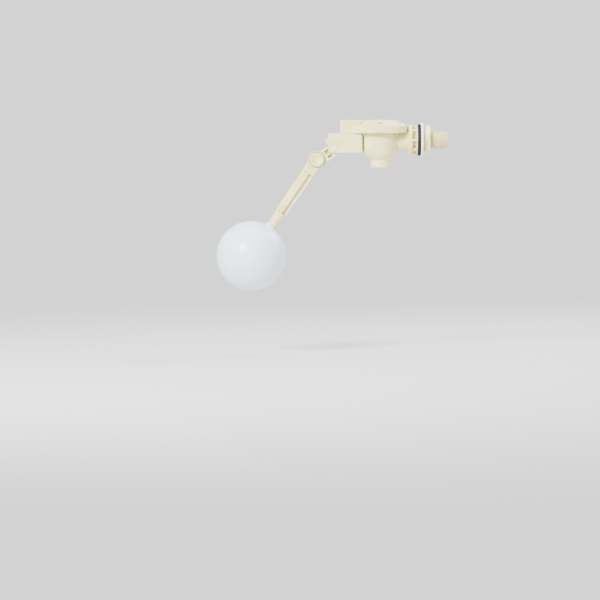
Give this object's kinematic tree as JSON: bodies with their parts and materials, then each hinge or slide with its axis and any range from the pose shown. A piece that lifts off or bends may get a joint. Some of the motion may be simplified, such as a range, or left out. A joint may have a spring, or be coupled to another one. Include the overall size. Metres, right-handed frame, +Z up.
{
  "type": "pilot-operated float valve",
  "caption": "Plastic float valve for a water tank: threaded inlet with lock nut, round diaphragm valve body, hinged lever with a pilot pad, adjustable arm and hollow ball float.",
  "frame": {"origin": "on the inlet axis, at the flange's sealing face that bears on the gasket and the tank wall", "axes": "+X along the inlet axis out through the tank wall to the supply, +Z up with the outlet pointing to -Z, the float arm on the -X side"},
  "size_m": [0.3522, 0.1062, 0.2606],
  "materials": {
    "cream_abs": "satin",
    "float_white": "satin",
    "white_plastic": "satin",
    "black_rubber": "matte",
    "grey_rubber": "matte",
    "steel": "satin",
    "brass": "satin"
  },
  "bodies": {
    "valve": {"valve_body": "cream_abs", "pilot_cover": "cream_abs", "cover_screws": "steel", "lever_bracket": "cream_abs", "bracket_screws": "steel", "diaphragm": "grey_rubber", "return_spring": "steel", "bleed_pin": "steel", "passage_plug": "white_plastic", "pilot_nozzle": "brass", "nozzle_seal": "black_rubber", "pivot_pin": "white_plastic", "pin_clip": "steel", "flange_gasket": "black_rubber", "inlet_strainer": "white_plastic"},
    "moving_valve": {"diaphragm_plate": "white_plastic", "diaphragm_retainer": "white_plastic", "diaphragm_screw": "steel"},
    "lever": {"lever": "cream_abs", "pilot_pad": "grey_rubber", "knuckle_screw": "cream_abs", "knuckle_washer": "steel", "knuckle_nut": "brass"},
    "float": {"float_arm": "cream_abs", "float_ball": "float_white", "ball_socket": "float_white", "ball_seal": "black_rubber"},
    "washer": {"slip_washer": "white_plastic"},
    "nut": {"lock_nut": "cream_abs"}
  },
  "joints": [
    {"name": "lever_pivot", "type": "hinge", "parent": "valve", "child": "lever", "pos_m": [-0.1277, 0, -0.0122], "axis": [0, 1, 0], "range_deg": [0, 38]},
    {"name": "knuckle_turn", "type": "hinge", "parent": "lever", "child": "float", "pos_m": [-0.15342, 0, -0.03021], "axis": [0, 1, 0], "range_deg": [-45, 60]},
    {"name": "diaphragm_lift", "type": "slide", "parent": "valve", "child": "moving_valve", "axis": [0, 0, -1], "range_m": [0, 0.003], "deforming": ["diaphragm", "return_spring"]},
    {"name": "washer_slide", "type": "slide", "parent": "valve", "child": "washer", "axis": [1, 0, 0], "range_m": [0, 0.024]},
    {"name": "nut_spin", "type": "hinge", "parent": "washer", "child": "nut", "pos_m": [0.0138, 0, 0], "axis": [1, 0, 0], "range_deg": [0, 4752]}
  ],
  "couplings": [
    {"joint": "diaphragm_lift", "follows": "lever_pivot", "m_per_rad": 0.00452},
    {"joint": "washer_slide", "follows": "nut_spin", "m_per_rad": 0.00028871}
  ]
}
